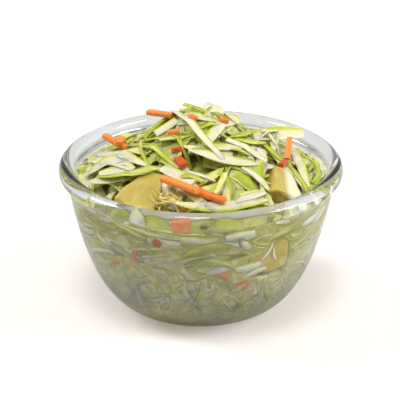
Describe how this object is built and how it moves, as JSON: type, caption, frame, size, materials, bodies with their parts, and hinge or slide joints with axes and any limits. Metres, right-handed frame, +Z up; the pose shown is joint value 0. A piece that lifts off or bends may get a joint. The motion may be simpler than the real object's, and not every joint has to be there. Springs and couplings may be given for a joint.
{
  "type": "glass bowl of coleslaw with pineapple",
  "caption": "Round glass bowl with a rolled rim, heaped with shredded cabbage and carrot salad and chunks of pineapple.",
  "frame": {"origin": "centre of the bowl's round foot, on the surface it stands on", "axes": "+Z up along the bowl's axis, -Y towards the front, +X to the right"},
  "size_m": [0.14, 0.14, 0.0989],
  "materials": {
    "glass": "gloss, clear pressed glass, slightly grey",
    "slaw": "moist satin, pale green and white cabbage with orange carrot",
    "pineapple": "wet satin, fibrous yellow fruit"
  },
  "bodies": {
    "root": {"glass_bowl": "glass", "slaw_heap": "slaw", "pineapple_chunk_1": "pineapple", "pineapple_chunk_2": "pineapple", "pineapple_chunk_3": "pineapple"}
  },
  "joints": []
}
